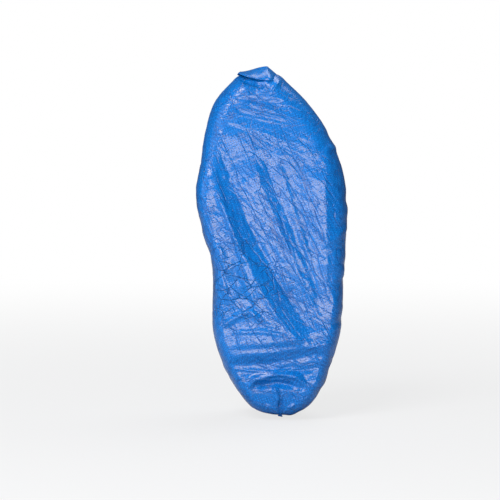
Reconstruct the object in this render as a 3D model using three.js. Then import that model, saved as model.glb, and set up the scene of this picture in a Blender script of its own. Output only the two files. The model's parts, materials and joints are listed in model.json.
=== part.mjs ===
// A disposable shoe cover of thin plastic film, in the form it takes over a low shoe.
// It stands on its heel end: +Z runs from heel to toe, +Y out of the ankle opening, -Y out of the sole.
// The origin is on the inner face of the sole, halfway along, where the shoe bears. Millimetres.
import * as THREE from "three";

// Driving dimensions.
const LENGTH = 310; // from the heel seam's edge to the tip of the toe ear
const FILM = 1; // wall, which stands for one layer of film with its air and folds
const GAP = 0.4; // clearance between neighbouring pieces
const SEAM_HEIGHT = 2.5; // how far a welded seam stands out
const SEAM_THICK = 1.2;
const EAR_HEIGHT = 8.5; // how far the film's spare corner stands out past the toe
const HEEL_Z = SEAM_HEIGHT + GAP - LENGTH / 2;
const TOE_Z = LENGTH / 2 - EAR_HEIGHT - GAP;

// The widest outline, seen from the sole, from heel to toe. The film stands loose at the left of the ball.
const HEEL_TIP_X = 8;
const TOE_TIP_X = -10;
const OUTLINE = [
  { z: -147, left: -14, right: 29 },
  { z: -131, left: -29, right: 43 },
  { z: -105, left: -43, right: 53 },
  { z: -78, left: -51, right: 61 },
  { z: -20, left: -52, right: 64 },
  { z: 12, left: -61, right: 66 },
  { z: 44, left: -66, right: 66 },
  { z: 70, left: -62, right: 61 },
  { z: 97, left: -58, right: 50 },
  { z: 123, left: -50, right: 32 },
  { z: 140, left: -34, right: 12 },
];

// The side profile.
const SOLE_INSET = 10; // from the widest outline in to the edge of the sole
const WIDEST_Y = 20; // height of the widest outline above the sole
const TOE_SPRING = { from: 45, to: TOE_Z, lift: 12 }; // the sole curls up towards its ends
const HEEL_SPRING = { from: -115, to: HEEL_Z, lift: 5 };

// The rim of the film under the hem: an oval with blunt ends, whose sides dip below its ends.
const RIM = { x: 3, y: 80, z: -44, halfLength: 93, halfWidth: 34, endsRise: 6, heelRise: 1 };
const RIM_BLUNTNESS = 0.75; // 1 is an ellipse

// How the upper bends between its widest line and the rim, at the toe, the sides and the heel.
// inward and up place the bend as shares of the way in to the rim and up to it.
const BEND = {
  toe: { inward: 0.27, up: 0.72 },
  side: { inward: 0.05, up: 0.8 },
  heel: { inward: 0.2, up: 0.6 },
};

// Folds of the sole film as routes of [x, z], with half widths. lift is outwards, and a dent's is negative.
const FOLDS = [
  { name: "toe tuck", route: [[-27, 141], [-8, 136]], halfWidth: 5, lift: -2.5 },
  { name: "toe roll", route: [[-38, 130], [12, 128]], halfWidth: 5, lift: 2 },
  { name: "second toe roll", route: [[-34, 122], [4, 113]], halfWidth: 5, lift: 1.8 },
  { name: "long valley", route: [[-50, 81], [-43, 50], [-8, -25], [35, -91]], halfWidth: 10, lift: -3 },
  { name: "left ridge", route: [[-48, 48], [-30, 6], [-27, -10]], halfWidth: 7, lift: 2.5 },
  { name: "middle plateau", route: [[-21, 50], [4, -18], [30, -83]], halfWidth: 9, lift: 1.5 },
  { name: "second valley", route: [[-10, 72], [1, 37], [26, -16], [43, -60]], halfWidth: 8, lift: -2.5 },
  { name: "right plateau", route: [[17, 45], [26, 0], [40, -40]], halfWidth: 8, lift: 1.5 },
  { name: "right channel", route: [[50, 68], [53, -52]], halfWidth: 7, lift: -2 },
  { name: "ball crease", route: [[-58, 52], [-51, 0]], halfWidth: 6, lift: -2.5 },
  { name: "arch crumple", route: [[-41, -71], [-19, -58], [-8, -69]], halfWidth: 6, lift: 2.2 },
  { name: "arch ridge", route: [[-25, -14], [-12, -52]], halfWidth: 7, lift: 2.2 },
  { name: "heel valley", route: [[-36, -106], [50, -96]], halfWidth: 6, lift: -2.5 },
  { name: "heel arch", route: [[-17, -128], [-5, -120], [17, -118], [30, -128]], halfWidth: 6, lift: 3 },
  { name: "heel tuck", route: [[6, -131], [7, -141]], halfWidth: 6, lift: 2.5 },
];

// Pleats that run from the rim down over the upper, placed by their share of the way round from the heel.
const PLEATS = [
  { at: 0.07, halfWidth: 0.03, lift: 2 },
  { at: 0.16, halfWidth: 0.03, lift: 2.5 },
  { at: 0.25, halfWidth: 0.03, lift: 3 },
  { at: 0.33, halfWidth: 0.03, lift: 4 },
  { at: 0.39, halfWidth: 0.03, lift: 4 },
  { at: 0.45, halfWidth: 0.03, lift: 3 },
  { at: 0.55, halfWidth: 0.03, lift: 3 },
  { at: 0.61, halfWidth: 0.03, lift: 4 },
  { at: 0.67, halfWidth: 0.03, lift: 4 },
  { at: 0.75, halfWidth: 0.03, lift: 3 },
  { at: 0.84, halfWidth: 0.03, lift: 2.5 },
  { at: 0.93, halfWidth: 0.03, lift: 2 },
];
const PLEAT_FULLEST = 0.65; // share of the way up to the rim where a pleat stands out most

// The hem is the film turned in over the elastic. It is drawn into gathers that lean in and out.
const HEM = { height: 9, channel: 2.8, gathers: 24, sway: 0.8 };
const ELASTIC_RADIUS = 1;

// How finely the pieces are divided.
const AROUND = 72; // even, so that the toe and the heel lie on a line of points
const SOLE_STEPS = 9;
const CORNER_STEPS = 3;
const UPPER_STEPS = 8;
const HEM_STEPS = HEM.gathers * 4;
const ELASTIC_SIDES = 5;
const ROWS = SOLE_STEPS + CORNER_STEPS + UPPER_STEPS;
const SIDE_ROW = SOLE_STEPS + CORNER_STEPS; // the widest outline
const TOE_LINE = AROUND / 2;
const HEEL_LINE = 0;

const { PI, abs, cos, floor, max, min, sign, sin } = Math;
const { lerp, smoothstep } = THREE.MathUtils;
const point = (x, y, z) => new THREE.Vector3(x, y, z);

// 1 in the middle of a fold, falling smoothly to 0 at its half width.
const crest = (distance, halfWidth) => 1 - smoothstep(distance, 0, halfWidth);

// The widest outline as a closed curve: heel tip, left side, toe tip, right side.
function outlineCurve() {
  const left = OUTLINE.map((s) => point(s.left, 0, s.z));
  const right = OUTLINE.map((s) => point(s.right, 0, s.z)).reverse();
  const heel = point(HEEL_TIP_X, 0, HEEL_Z);
  const toe = point(TOE_TIP_X, 0, TOE_Z);
  return new THREE.CatmullRomCurve3([heel, ...left, toe, ...right], true, "centripetal");
}

// Points evenly spaced along one stretch of a curve, from share `from` up to but not at share `to`.
function evenStretch(curve, from, to, count) {
  const FINE = 400;
  const fine = Array.from({ length: FINE + 1 }, (_, i) => curve.getPoint(lerp(from, to, i / FINE)));
  const along = [0];
  for (let i = 1; i <= FINE; i++) along.push(along[i - 1] + fine[i].distanceTo(fine[i - 1]));
  const found = [];
  let i = 0;
  for (let n = 0; n < count; n++) {
    const wanted = (along[FINE] * n) / count;
    while (along[i + 1] < wanted) i++;
    const share = (wanted - along[i]) / (along[i + 1] - along[i]);
    found.push(fine[i].clone().lerp(fine[i + 1], share));
  }
  return found;
}

const outline = outlineCurve();
const widest = [
  ...evenStretch(outline, 0, 0.5, AROUND / 2),
  ...evenStretch(outline, 0.5, 1, AROUND / 2),
];
const wrap = (i) => (i + AROUND) % AROUND;

// The direction square to the outline and away from its middle, in the plane of the sole.
function outwardAt(i) {
  const before = widest[wrap(i - 1)];
  const after = widest[wrap(i + 1)];
  return point(before.z - after.z, 0, after.x - before.x).normalize();
}

const soleEdge = widest.map((p, i) => p.clone().addScaledVector(outwardAt(i), -SOLE_INSET));

// How far the sole has curled up at z.
function spring(z) {
  const climb = (s) => s.lift * max(0, (z - s.from) / (s.to - s.from)) ** 2;
  return climb(TOE_SPRING) + climb(HEEL_SPRING);
}

// The rim at a share of the way round from the heel.
function rimPoint(share) {
  const a = 2 * PI * share;
  const y = RIM.y + RIM.endsRise * cos(2 * a) + RIM.heelRise * cos(a);
  const aside = sign(sin(a)) * abs(sin(a)) ** RIM_BLUNTNESS;
  return point(RIM.x - RIM.halfWidth * aside, y, RIM.z - RIM.halfLength * cos(a));
}

// The bend of the upper at a share of the way round: side values, blended into the heel's or the toe's.
function bendAt(share) {
  const a = 2 * PI * share;
  const end = cos(a) > 0 ? BEND.heel : BEND.toe;
  const weight = cos(a) ** 2;
  return {
    inward: lerp(BEND.side.inward, end.inward, weight),
    up: lerp(BEND.side.up, end.up, weight),
  };
}

function bendPoint(side, rim, share) {
  const bend = bendAt(share);
  const p = side.clone().lerp(rim, bend.inward);
  return point(p.x, lerp(side.y, rim.y, bend.up), p.z);
}

// A point of the widest line, at its height above the sole.
const sidePoint = (i) => point(widest[i].x, WIDEST_Y + spring(widest[i].z), widest[i].z);

// The same at any share of the way round, for pieces divided more finely than the film.
function widestPoint(share) {
  const at = share * AROUND;
  const i = floor(at);
  const lower = sidePoint(wrap(i));
  return lower.lerp(sidePoint(wrap(i + 1)), at - i);
}

// The line along the middle of the sole, on which the two sides' points meet in pairs.
function middlePoint(i) {
  const one = soleEdge[i];
  const other = soleEdge[wrap(-i)];
  const SHORTENED = 0.8; // the line stops short of the toe and heel
  return point((one.x + other.x) / 2, 0, ((one.z + other.z) / 2) * SHORTENED);
}

// The undisturbed outer surface. Row 0 is the middle line and the last row is the rim.
function smoothPoint(i, row) {
  const edge = soleEdge[i];
  if (row <= SOLE_STEPS) {
    const p = middlePoint(i).lerp(edge, row / SOLE_STEPS);
    return point(p.x, spring(p.z) - FILM, p.z);
  }
  const side = sidePoint(i);
  if (row <= SIDE_ROW) {
    const a = ((row - SOLE_STEPS) / CORNER_STEPS) * (PI / 2);
    const p = edge.clone().lerp(side, sin(a));
    return point(p.x, lerp(spring(edge.z) - FILM, side.y, 1 - cos(a)), p.z);
  }
  const t = (row - SIDE_ROW) / UPPER_STEPS;
  const rim = rimPoint(i / AROUND);
  const bend = bendPoint(side, rim, i / AROUND);
  return new THREE.QuadraticBezierCurve3(side, bend, rim).getPoint(t);
}

// The outward normal, from the neighbouring points of the undisturbed surface.
function normalAt(i, row) {
  const p = smoothPoint(i, row);
  if (row < SOLE_STEPS) {
    const rise = spring(p.z + 1) - spring(p.z - 1);
    return point(0, -2, rise).normalize();
  }
  const next = smoothPoint(wrap(i + 1), row);
  const last = smoothPoint(wrap(i - 1), row);
  const up = smoothPoint(i, min(row + 1, ROWS));
  const down = smoothPoint(i, row - 1);
  return next.sub(last).cross(up.sub(down)).normalize();
}

// The distance in the plane of the sole from a point to a fold's route.
function distanceToRoute(p, route) {
  const flat = point(p.x, 0, p.z);
  const corners = route.map(([x, z]) => point(x, 0, z));
  const nearest = new THREE.Vector3();
  let least = Infinity;
  for (let k = 1; k < corners.length; k++) {
    const leg = new THREE.Line3(corners[k - 1], corners[k]);
    least = min(least, leg.closestPointToPoint(flat, true, nearest).distanceTo(flat));
  }
  return least;
}

function soleLift(p, row) {
  const fade = 1 - smoothstep(row, SOLE_STEPS, SIDE_ROW);
  const lift = FOLDS.reduce((sum, f) => sum + f.lift * crest(distanceToRoute(p, f.route), f.halfWidth), 0);
  return lift * fade;
}

function pleatLift(i, row) {
  const up = (row - SIDE_ROW) / UPPER_STEPS;
  if (up <= 0) return 0;
  const fade = up < PLEAT_FULLEST ? up / PLEAT_FULLEST : (1 - up) / (1 - PLEAT_FULLEST);
  const lift = PLEATS.reduce((sum, p) => sum + p.lift * crest(abs(i / AROUND - p.at), p.halfWidth), 0);
  return lift * smoothstep(fade, 0, 1);
}

// A point of the film, `inward` millimetres inside its outer face.
function filmPoint(i, row, inward) {
  const p = smoothPoint(i, row);
  const lift = soleLift(p, row) + pleatLift(i, row);
  return p.addScaledVector(normalAt(i, row), lift - inward);
}

// A mesh from positions and triangles whose faces already point outwards.
function solid(name, material, positions, triangles) {
  const geometry = new THREE.BufferGeometry();
  geometry.setAttribute("position", new THREE.Float32BufferAttribute(positions, 3));
  geometry.setIndex(triangles);
  geometry.computeVertexNormals();
  const mesh = new THREE.Mesh(geometry, material);
  mesh.name = name;
  return mesh;
}

// The pouch: an outer and an inner face over sole, walls, toe and heel, joined round the rim.
function filmBody(name, material) {
  const positions = [];
  const triangles = [];
  const index = (skin, i, row) => {
    const around = row === 0 ? min(wrap(i), AROUND - wrap(i)) : wrap(i);
    return (skin * (ROWS + 1) + row) * AROUND + around;
  };
  const addFace = (corners, flipped) => {
    if (new Set(corners).size < 3) return; // closed up on the middle line
    triangles.push(...(flipped ? corners.reverse() : corners));
  };
  for (const inward of [0, FILM])
    for (let row = 0; row <= ROWS; row++)
      for (let i = 0; i < AROUND; i++) positions.push(...filmPoint(i, row, inward).toArray());
  for (const skin of [0, 1])
    for (let row = 0; row < ROWS; row++)
      for (let i = 0; i < AROUND; i++) {
        const [a, b] = [index(skin, i, row), index(skin, i + 1, row)];
        const [c, d] = [index(skin, i + 1, row + 1), index(skin, i, row + 1)];
        addFace([a, b, c], skin === 1);
        addFace([a, c, d], skin === 1);
      }
  for (let i = 0; i < AROUND; i++) {
    const [a, b] = [index(0, i, ROWS), index(0, i + 1, ROWS)];
    const [c, d] = [index(1, i + 1, ROWS), index(1, i, ROWS)];
    triangles.push(a, b, c, a, c, d);
  }
  return solid(name, material, positions, triangles);
}

// Joins rings of equal size into one closed skin. Closed rings run on from the last to the first.
function bridgeRings(rings, closed) {
  const size = rings[0].length;
  const triangles = [];
  for (let i = 0; i < rings.length - (closed ? 0 : 1); i++)
    for (let k = 0; k < size; k++) {
      const next = (i + 1) % rings.length;
      const [a, b] = [i * size + k, i * size + ((k + 1) % size)];
      const [c, d] = [next * size + ((k + 1) % size), next * size + k];
      triangles.push(a, c, b, a, d, c);
    }
  if (closed) return triangles;
  const last = (rings.length - 1) * size;
  for (let k = 1; k < size - 1; k++) triangles.push(0, k, k + 1, last, last + k + 1, last + k);
  return triangles;
}

function ringSolid(name, material, rings, closed) {
  const positions = rings.flat().flatMap((p) => p.toArray());
  return solid(name, material, positions, bridgeRings(rings, closed));
}

// A section carried round the rim, as points [out, on]: out from the film, and on past its edge.
function rimRings(section) {
  return Array.from({ length: HEM_STEPS }, (_, i) => {
    const share = i / HEM_STEPS;
    const rim = rimPoint(share);
    const STEP = 0.002;
    const along = rimPoint(share + STEP).sub(rimPoint(share - STEP)).normalize();
    const onward = rim.clone().sub(bendPoint(widestPoint(share), rim, share)).normalize();
    const out = along.clone().cross(onward).normalize();
    const sway = HEM.sway * sin(2 * PI * share * HEM.gathers);
    return section.map(([o, on]) => rim.clone().addScaledVector(out, o + sway).addScaledVector(onward, on));
  });
}

// The hem: up from the film's edge, over the elastic in a half circle, and down inside.
function hemSection() {
  const radius = HEM.channel / 2;
  const middle = -FILM - radius;
  const top = HEM.height - radius - FILM;
  const INNER_FOOT = 1.5;
  const arc = (r, steps) =>
    Array.from({ length: steps + 1 }, (_, k) => {
      const a = (PI * k) / steps;
      return [middle + r * cos(a), top + r * sin(a)];
    });
  const outside = arc(radius + FILM, 4);
  const inside = arc(radius, 3).reverse();
  const foot = [[middle - radius - FILM, INNER_FOOT], [middle - radius, INNER_FOOT]];
  return [[0, GAP], ...outside, ...foot, ...inside, [-FILM, GAP]];
}

function elasticSection() {
  const middle = -FILM - HEM.channel / 2;
  const height = HEM.height - FILM - HEM.channel / 2;
  return Array.from({ length: ELASTIC_SIDES }, (_, k) => {
    const a = (2 * PI * k) / ELASTIC_SIDES;
    return [middle + ELASTIC_RADIUS * cos(a), height + ELASTIC_RADIUS * sin(a)];
  });
}

// A welded seam: a low fin that stands on the film along one line of its points.
function seamFin(name, material, line, fromRow, toRow) {
  const half = (SEAM_THICK / 2) * (line === TOE_LINE ? 1 : -1);
  const rings = [];
  for (let row = fromRow; row <= toRow; row++) {
    const foot = filmPoint(line, row, -GAP);
    const edge = filmPoint(line, row, -GAP - SEAM_HEIGHT);
    const across = point(half, 0, 0);
    rings.push([
      foot.clone().add(across),
      edge.clone().add(across),
      edge.clone().sub(across),
      foot.clone().sub(across),
    ]);
  }
  return ringSolid(name, material, rings, false);
}

// The ear: the pouch's spare corner, pressed flat past the toe, with a square shoulder at each end.
function toeEar(name, material) {
  const STEPS = 10;
  const REACH = 0.026; // share of the way round that it covers on each side of the toe tip
  const LOWEST = 0.45; // height at its two ends, as a share of the full height
  const CURL = 3; // how far its edge bends up, away from the sole
  const rings = [];
  for (let k = 0; k <= STEPS; k++) {
    const aside = (2 * k) / STEPS - 1;
    const height = EAR_HEIGHT * lerp(LOWEST, 1, 1 - aside ** 2);
    const foot = widestPoint(0.5 + REACH * aside).add(point(0, 0, GAP));
    const edge = foot.clone().add(point(0, CURL, height));
    const half = point(0, SEAM_THICK / 2, 0);
    rings.push([
      foot.clone().sub(half),
      edge.clone().sub(half),
      edge.clone().add(half),
      foot.clone().add(half),
    ]);
  }
  return ringSolid(name, material, rings, false);
}

const blueFilm = () => new THREE.MeshStandardMaterial({ color: 0x4784d3, roughness: 0.35, metalness: 0 });
const elastic = new THREE.MeshStandardMaterial({ color: 0xd9e2ec, roughness: 0.7, metalness: 0 });

const shoeCover = new THREE.Group();
shoeCover.add(filmBody("film_body", blueFilm()));
shoeCover.add(ringSolid("gathered_hem", blueFilm(), rimRings(hemSection()), true));
shoeCover.add(ringSolid("elastic_band", elastic, rimRings(elasticSection()), true));
shoeCover.add(seamFin("toe_seam", blueFilm(), TOE_LINE, SIDE_ROW + 1, ROWS - 1));
shoeCover.add(seamFin("heel_seam", blueFilm(), HEEL_LINE, SOLE_STEPS + 1, ROWS - 1));
shoeCover.add(toeEar("toe_ear", blueFilm()));
export default shoeCover;
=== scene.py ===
# %% [markdown]
# # A disposable film shoe cover
# This lesson dresses a plain construction model of a shoe cover in its real surface.
# The cover is one sheet of blue plastic film, thinner than paper, folded under the sole and
# welded at the toe and the heel. An elastic thread draws its opening into ruffles.
# The construction model fixes every size and place, so each piece here is made to fit it.

# %% Load the fixed frame
import json
import math

import bpy
import numpy as np
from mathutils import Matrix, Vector

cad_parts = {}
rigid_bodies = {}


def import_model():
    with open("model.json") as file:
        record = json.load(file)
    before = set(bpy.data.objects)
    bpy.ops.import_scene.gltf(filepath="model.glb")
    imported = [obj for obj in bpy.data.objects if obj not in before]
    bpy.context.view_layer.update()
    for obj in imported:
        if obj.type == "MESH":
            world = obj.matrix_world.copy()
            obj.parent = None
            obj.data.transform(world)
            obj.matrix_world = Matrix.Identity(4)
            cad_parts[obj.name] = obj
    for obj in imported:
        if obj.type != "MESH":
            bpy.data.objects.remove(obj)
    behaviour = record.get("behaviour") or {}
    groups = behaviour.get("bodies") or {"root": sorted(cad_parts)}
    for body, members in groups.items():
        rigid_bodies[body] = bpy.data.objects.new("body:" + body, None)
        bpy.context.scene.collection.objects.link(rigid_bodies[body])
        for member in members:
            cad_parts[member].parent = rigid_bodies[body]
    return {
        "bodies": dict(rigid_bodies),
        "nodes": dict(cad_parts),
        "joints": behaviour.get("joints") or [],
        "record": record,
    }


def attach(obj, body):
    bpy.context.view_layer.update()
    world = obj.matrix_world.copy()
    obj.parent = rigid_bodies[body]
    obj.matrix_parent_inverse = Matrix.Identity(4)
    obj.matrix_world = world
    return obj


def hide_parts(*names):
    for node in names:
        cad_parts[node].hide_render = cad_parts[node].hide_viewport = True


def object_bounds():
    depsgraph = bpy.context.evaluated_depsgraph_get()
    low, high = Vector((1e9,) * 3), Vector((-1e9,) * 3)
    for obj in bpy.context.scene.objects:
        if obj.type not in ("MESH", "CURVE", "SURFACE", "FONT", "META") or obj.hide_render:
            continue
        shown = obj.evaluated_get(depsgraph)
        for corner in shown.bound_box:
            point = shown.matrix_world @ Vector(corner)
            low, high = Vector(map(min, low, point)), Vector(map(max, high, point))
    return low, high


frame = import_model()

MM = 0.001
cad_low, cad_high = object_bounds()
print("pieces in the frame:", ", ".join(sorted(frame["nodes"])))
print("size in mm:", [round(side / MM, 1) for side in cad_high - cad_low])

# %% [markdown]
# ## Look straight at the sole
# The cover stands on its heel with its sole towards us. A long lens a couple of metres away
# flattens the view as a catalogue picture does. The camera is aimed a little to the left of
# the middle, and tilts down by a few degrees only, so the sole keeps its true shape.

# %% Camera
LOOK_AT = Vector((-18.6, 40, -7.5)) * MM
VIEW_DISTANCE = 2.2
VIEW_ELEVATION = math.radians(4)
FIELD_WIDTH = 0.443  # how much of the scene fits across the picture at the cover
SENSOR_WIDTH = 36.0


def add_camera():
    away = Vector((0, -math.cos(VIEW_ELEVATION), math.sin(VIEW_ELEVATION)))
    bpy.ops.object.camera_add(location=LOOK_AT + away * VIEW_DISTANCE)
    camera = bpy.context.object
    camera.rotation_euler = (-away).to_track_quat("-Z", "Y").to_euler()
    camera.data.sensor_width = SENSOR_WIDTH
    camera.data.lens = SENSOR_WIDTH * VIEW_DISTANCE / FIELD_WIDTH
    bpy.context.scene.camera = camera
    return camera


camera = add_camera()
print("lens in mm:", round(camera.data.lens))

# %% [markdown]
# ## The outline and the side profile
# A sewing pattern would be hard to bend into this shape by hand. It is simpler to describe the
# form that the film takes over a shoe: a closed outline seen from the sole, a side profile, and
# the oval rim of the opening. Every point of the film then has an address: how far round it
# lies from the heel, and how far out it lies from the middle of the sole to the rim.

# %% The form in a few sizes
HALF_LENGTH = 155 * MM
TOE_SPARE = 5 * MM  # how far the toe stops short of the whole length, for its spare corner
HEEL_FIN = 2.9 * MM
WALL = 1 * MM
SOLE_INSET = 10 * MM
ROUNDER_TOE = 6 * MM  # how much wider the turn from sole to side becomes towards the toe
WIDEST_HEIGHT = 20 * MM
HEEL_TIP = (8 * MM, HEEL_FIN - HALF_LENGTH)
TOE_TIP = (-10 * MM, HALF_LENGTH - TOE_SPARE)

OUTLINE = [  # height along the cover, left edge, right edge
    (-147, -14, 29),
    (-131, -29, 43),
    (-105, -43, 53),
    (-78, -51, 61),
    (-20, -52, 64),
    (12, -61, 66),
    (44, -66, 66),
    (70, -62, 61),
    (97, -58, 50),
    (123, -50, 32),
    (140, -36, 15),
    (147, -28, 7),
]
TOE_SPRING = (45 * MM, TOE_TIP[1], 12 * MM)  # starts at, ends at, lifts by
HEEL_SPRING = (-115 * MM, HEEL_TIP[1], 5 * MM)
RIM_CENTRE = Vector((3, 80, -44)) * MM
RIM_HALF_WIDTH, RIM_HALF_LENGTH = 34 * MM, 93 * MM
RIM_ENDS_RISE, RIM_HEEL_RISE = 6 * MM, 1 * MM
RIM_BLUNTNESS = 0.75
BEND_INWARD = {"toe": 0.27, "side": 0.05, "heel": 0.2}
BEND_UP = {"toe": 0.72, "side": 0.8, "heel": 0.6}


def smooth(value, low=0.0, high=1.0):
    t = np.clip((value - low) / (high - low), 0, 1)
    return t * t * (3 - 2 * t)


def mix(a, b, t):
    return a + (b - a) * t


def smooth_loop(points, per_leg=60):
    """A smooth closed curve through the points, as many smaller steps."""
    before, start, end, after = (np.roll(points, -k, axis=0) for k in (-1, 0, 1, 2))

    def pace(a, b):
        return np.sqrt(np.linalg.norm(b - a, axis=1, keepdims=True))

    d0, d1, d2 = pace(before, start), pace(start, end), pace(end, after)
    leave = ((start - before) / d0 - (end - before) / (d0 + d1) + (end - start) / d1) * d1
    arrive = ((end - start) / d1 - (after - start) / (d1 + d2) + (after - end) / d2) * d1
    t = np.linspace(0, 1, per_leg, endpoint=False)[:, None, None]
    curve = (
        (2 * t**3 - 3 * t**2 + 1) * start
        + (t**3 - 2 * t**2 + t) * leave
        + (3 * t**2 - 2 * t**3) * end
        + (t**3 - t**2) * arrive
    )
    return curve.transpose(1, 0, 2).reshape(-1, points.shape[1])


def outline_at(share):
    """x and z of the widest outline at a share of the way round from the heel tip."""
    left = [(x * MM, z * MM) for z, x, _ in OUTLINE]
    right = [(x * MM, z * MM) for z, _, x in reversed(OUTLINE)]
    per_leg = 60
    loop = smooth_loop(np.array([HEEL_TIP, *left, TOE_TIP, *right]), per_leg)
    loop = np.vstack([loop, loop[:1]])
    middle = per_leg * (len(OUTLINE) + 1)
    found = []
    for half, start in ((loop[: middle + 1], 0.0), (loop[middle:], 0.5)):
        steps = np.linalg.norm(np.diff(half, axis=0), axis=1)
        along = np.append(0, np.cumsum(steps)) / steps.sum()
        at = (share - start) * 2
        found.append(np.stack([np.interp(at, along, half[:, k]) for k in (0, 1)], -1))
    return np.where((share < 0.5)[..., None], *found)


def spring(z):
    """How far the sole has curled up at z."""
    climb = 0
    for start, end, lift in (TOE_SPRING, HEEL_SPRING):
        climb = climb + lift * np.maximum(0, (z - start) / (end - start)) ** 2
    return climb


def rim_at(share):
    a = 2 * np.pi * share
    aside = np.sign(np.sin(a)) * np.abs(np.sin(a)) ** RIM_BLUNTNESS
    x = RIM_CENTRE.x - RIM_HALF_WIDTH * aside
    y = RIM_CENTRE.y + RIM_ENDS_RISE * np.cos(2 * a) + RIM_HEEL_RISE * np.cos(a)
    z = RIM_CENTRE.z - RIM_HALF_LENGTH * np.cos(a)
    return np.stack([x, y, z], -1)


def side_at(share):
    x, z = np.moveaxis(outline_at(share), -1, 0)
    return np.stack([x, WIDEST_HEIGHT + spring(z), z], -1)


def bend_at(share):
    """The point that the upper leans towards between its widest line and the rim."""
    a = 2 * np.pi * share
    weight = np.cos(a) ** 2
    heel = np.cos(a) > 0
    inward = mix(BEND_INWARD["side"], np.where(heel, BEND_INWARD["heel"], BEND_INWARD["toe"]), weight)
    up = mix(BEND_UP["side"], np.where(heel, BEND_UP["heel"], BEND_UP["toe"]), weight)
    side, rim = side_at(share), rim_at(share)
    bend = mix(side, rim, inward[..., None])
    bend[..., 1] = mix(side[..., 1], rim[..., 1], up)
    return bend


# %% [markdown]
# ## A grid of addresses
# The film becomes a grid: one direction runs round the cover, the other runs out from the
# middle line of the sole, round its edge and up to the rim. It starts with steps of about
# 3 mm, which is enough for the long folds, and is divided once more for the fine ones.

# %% The undisturbed film
AROUND = 320
SOLE_ROWS, EDGE_ROWS, UPPER_ROWS = 26, 8, 24
SIDE_ROW = SOLE_ROWS + EDGE_ROWS
ROWS = SIDE_ROW + UPPER_ROWS
MIDDLE_SHORTENED = 0.8
share = np.arange(AROUND + 1) / AROUND


def plain_film():
    """Positions of the smooth film, [row, column, xyz]. The last column closes on the first."""
    side = side_at(share)
    flat = side[:, [0, 2]]
    ahead = np.roll(flat[:-1], -1, axis=0) - np.roll(flat[:-1], 1, axis=0)
    ahead /= np.linalg.norm(ahead, axis=1, keepdims=True)
    outward = np.stack([-ahead[:, 1], ahead[:, 0]], -1)
    outward = np.vstack([outward, outward[:1]])
    inset = SOLE_INSET + ROUNDER_TOE * smooth(flat[:, 1], 20 * MM, 110 * MM)
    edge = flat - outward * inset[:, None]
    middle = (edge + edge[::-1]) / 2 * [1, MIDDLE_SHORTENED]
    rows = []
    for t in np.linspace(0, 1, SOLE_ROWS + 1):
        x, z = mix(middle, edge, t).T
        rows.append(np.stack([x, spring(z) - WALL, z], -1))
    for angle in np.linspace(0, np.pi / 2, EDGE_ROWS + 1)[1:]:
        x, z = mix(edge, flat, math.sin(angle)).T
        y = mix(spring(edge[:, 1]) - WALL, side[:, 1], 1 - math.cos(angle))
        rows.append(np.stack([x, y, z], -1))
    bend, rim = bend_at(share), rim_at(share)
    for t in np.linspace(0, 1, UPPER_ROWS + 1)[1:]:
        rows.append((1 - t) ** 2 * side + 2 * t * (1 - t) * bend + t**2 * rim)
    return np.array(rows)


def outward_normals(film):
    around = np.roll(film[:, :-1], -1, axis=1) - np.roll(film[:, :-1], 1, axis=1)
    out = np.gradient(film[:, :-1], axis=0)
    normal = np.cross(around, out)
    normal = np.concatenate([normal, normal[:, :1]], axis=1)
    slope = (spring(film[..., 2] + MM) - spring(film[..., 2] - MM)) / (2 * MM)
    flat = np.stack([np.zeros_like(slope), -np.ones_like(slope), slope], -1)
    on_sole = np.arange(ROWS + 1) < SOLE_ROWS
    normal[on_sole] = flat[on_sole]
    return normal / np.linalg.norm(normal, axis=-1, keepdims=True)


def grid_area(grid):
    across = np.diff(grid, axis=1)[:-1]
    out = np.diff(grid, axis=0)[:, :-1]
    return np.linalg.norm(np.cross(across, out), axis=-1).sum()


film = plain_film()
film_normals = outward_normals(film)
print("grid:", film.shape[:2], "area in m2:", round(grid_area(film), 4))

# %% [markdown]
# ## Folds under the sole
# The film is longer and wider than the shoe, and its spare length has to go somewhere. Under
# the sole it lies in long soft folds that slant from the ball to the heel, with rolls across
# the toe and the heel. Each is a route in the plane of the sole with a width, a height and a
# lean, which makes one flank steeper than the other, as in a real fold.

# %% Folds as routes with a profile
SOLE_FOLDS = [  # route of (x, z), half width, lift, lean, in mm. A dent's lift is negative.
    (((-28, 144), (-16, 138), (-4, 137)), 4, -3.0, 0.3),
    (((-5, 143), (0, 136), (3, 135)), 2.4, -1.8, 0.3),
    (((3, 135), (6, 139), (7, 144)), 2.2, 1.4, 0.3),
    (((-38, 126), (-10, 124), (12, 121)), 3, -1.2, 0.0),
    (((-50, 62), (-44, 36), (-34, 12), (-27, -12)), 5, 1.6, 0.5),
    (((-44, -73), (-20, -58), (-6, -70)), 4, 1.5, 0.5),
    (((-26, -12), (-22, -34), (-12, -54)), 4, 1.1, -0.5),
    (((-34, -78), (-10, -76), (14, -80)), 3, 0.8, 0.4),
    (((-21, -127), (-13, -118), (4, -114), (20, -115), (32, -125)), 4, 3.4, 0.5),
    (((-14, -125), (6, -121), (26, -126)), 4.6, -3.4, 0.0),
    (((2, -124), (4, -132), (7, -143)), 4, 2.4, 0.4),
    (((10, -134), (8, -142), (8, -149)), 3, -2.4, 0.0),
]
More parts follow.
